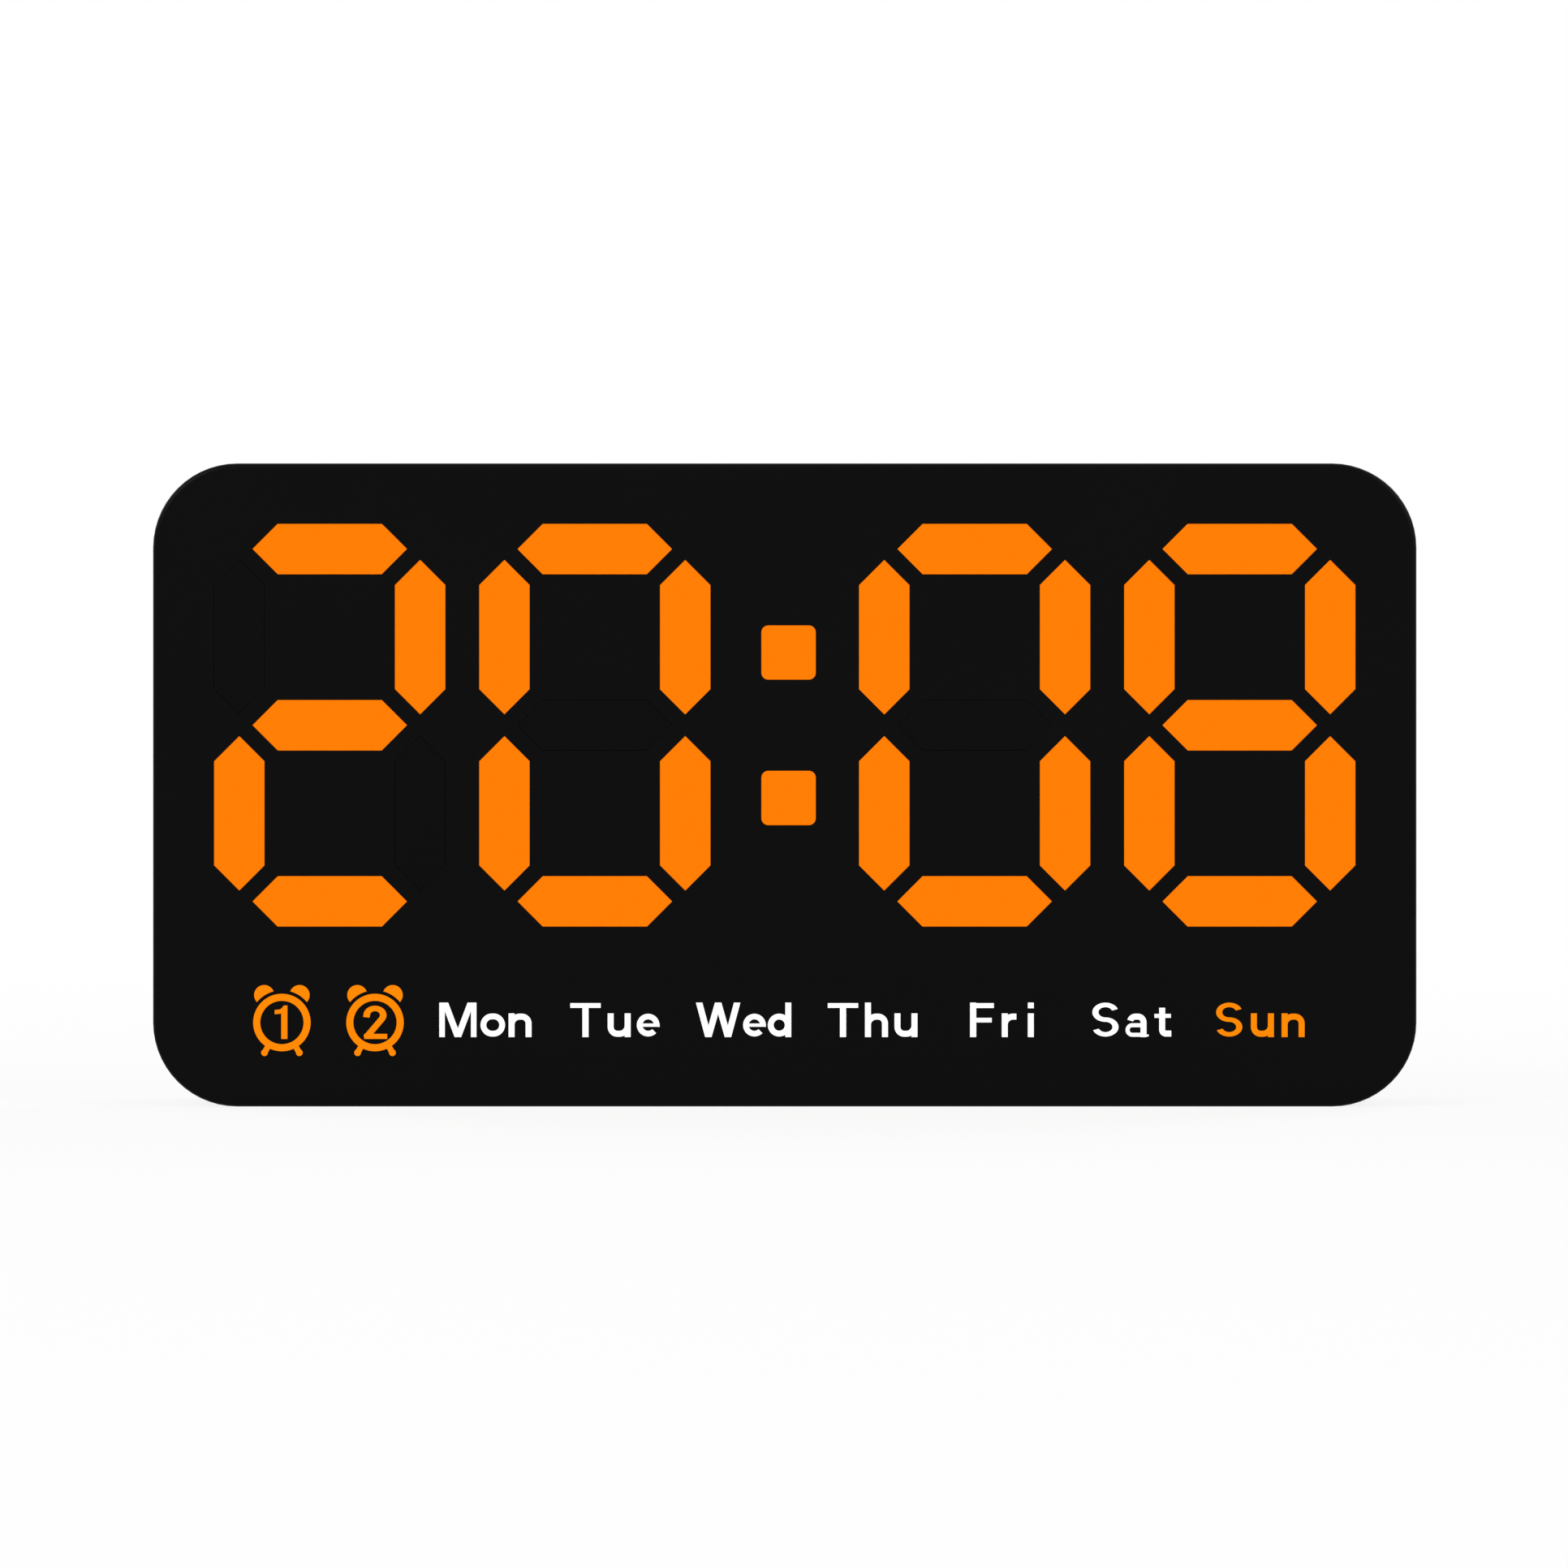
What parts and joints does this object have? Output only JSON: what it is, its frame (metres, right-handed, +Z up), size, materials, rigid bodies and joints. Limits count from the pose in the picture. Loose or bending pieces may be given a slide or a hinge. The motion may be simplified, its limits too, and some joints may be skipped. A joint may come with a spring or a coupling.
{
  "type": "digital wall clock",
  "caption": "Flat black LED clock with large seven-segment digits over a row of alarm and weekday signs, with keyholes, a fold-out stand, buttons and a battery bay behind.",
  "frame": {"origin": "centre of the case's back face, on the wall plane", "axes": "+Z up, -Y the way the face looks, +X to the right as one reads the time"},
  "size_m": [0.165, 0.026, 0.084],
  "materials": {
    "panel_black": "satin",
    "segment_lit": "lit, satin",
    "segment_dark": "smoked, satin",
    "reflector_white": "matte",
    "led_white": "matte",
    "board_green": "solder mask",
    "chip_black": "matte",
    "can_metal": "satin",
    "socket_steel": "satin",
    "tape_black": "matte",
    "case_black": "fine moulded texture",
    "button_black": "satin",
    "screw_steel": "zinc plated",
    "contact_nickel": "nickel plated",
    "cell_wrap": "plain film wrap"
  },
  "bodies": {
    "clock_case": {"front_panel": "panel_black", "digit1_segment_a": "segment_lit", "digit1_segment_b": "segment_lit", "digit1_segment_c": "segment_dark", "digit1_segment_d": "segment_lit", "digit1_segment_e": "segment_lit", "digit1_segment_f": "segment_dark", "digit1_segment_g": "segment_lit", "digit2_segment_a": "segment_lit", "digit2_segment_b": "segment_lit", "digit2_segment_c": "segment_lit", "digit2_segment_d": "segment_lit", "digit2_segment_e": "segment_lit", "digit2_segment_f": "segment_lit", "digit2_segment_g": "segment_dark", "digit3_segment_a": "segment_lit", "digit3_segment_b": "segment_lit", "digit3_segment_c": "segment_lit", "digit3_segment_d": "segment_lit", "digit3_segment_e": "segment_lit", "digit3_segment_f": "segment_lit", "digit3_segment_g": "segment_dark", "digit4_segment_a": "segment_lit", "digit4_segment_b": "segment_lit", "digit4_segment_c": "segment_lit", "digit4_segment_d": "segment_lit", "digit4_segment_e": "segment_lit", "digit4_segment_f": "segment_lit", "digit4_segment_g": "segment_lit", "colon_dots": "segment_lit", "sign_lens": "segment_dark", "reflector": "reflector_white", "segment_leds": "led_white", "circuit_board": "board_green", "chips": "chip_black", "capacitors": "can_metal", "buzzer": "chip_black", "usb_socket": "socket_steel", "switch_bodies": "chip_black", "panel_tape": "tape_black", "front_shell": "case_black", "rear_cover": "case_black", "case_screws": "screw_steel", "battery_cells": "cell_wrap", "battery_springs": "contact_nickel", "battery_contacts": "contact_nickel", "stand_pin": "screw_steel"},
    "mode_button": {"button_mode": "button_black", "switch_plunger_mode": "led_white"},
    "set_button": {"button_set": "button_black", "switch_plunger_set": "led_white"},
    "up_button": {"button_up": "button_black", "switch_plunger_up": "led_white"},
    "down_button": {"button_down": "button_black", "switch_plunger_down": "led_white"},
    "battery_lid": {"battery_door": "case_black"},
    "stand": {"stand_leg": "case_black"}
  },
  "joints": [
    {"name": "mode_press", "type": "slide", "parent": "clock_case", "child": "mode_button", "axis": [0, -1, 0], "range_m": [0, 0.0004], "stiffness_N_per_m": 300, "springref_m": -0.001},
    {"name": "set_press", "type": "slide", "parent": "clock_case", "child": "set_button", "axis": [0, -1, 0], "range_m": [0, 0.0004], "stiffness_N_per_m": 300, "springref_m": -0.001},
    {"name": "up_press", "type": "slide", "parent": "clock_case", "child": "up_button", "axis": [0, -1, 0], "range_m": [0, 0.0004], "stiffness_N_per_m": 300, "springref_m": -0.001},
    {"name": "down_press", "type": "slide", "parent": "clock_case", "child": "down_button", "axis": [0, -1, 0], "range_m": [0, 0.0004], "stiffness_N_per_m": 300, "springref_m": -0.001},
    {"name": "battery_lid_tilt", "type": "hinge", "parent": "clock_case", "child": "battery_lid", "pos_m": [0.0495, -0.0001, -0.02225], "axis": [-1, 0, 0], "range_deg": [0, 75]},
    {"name": "stand_fold", "type": "hinge", "parent": "clock_case", "child": "stand", "pos_m": [0, -0.0032, 0.006], "axis": [1, 0, 0], "range_deg": [0, 40]}
  ]
}
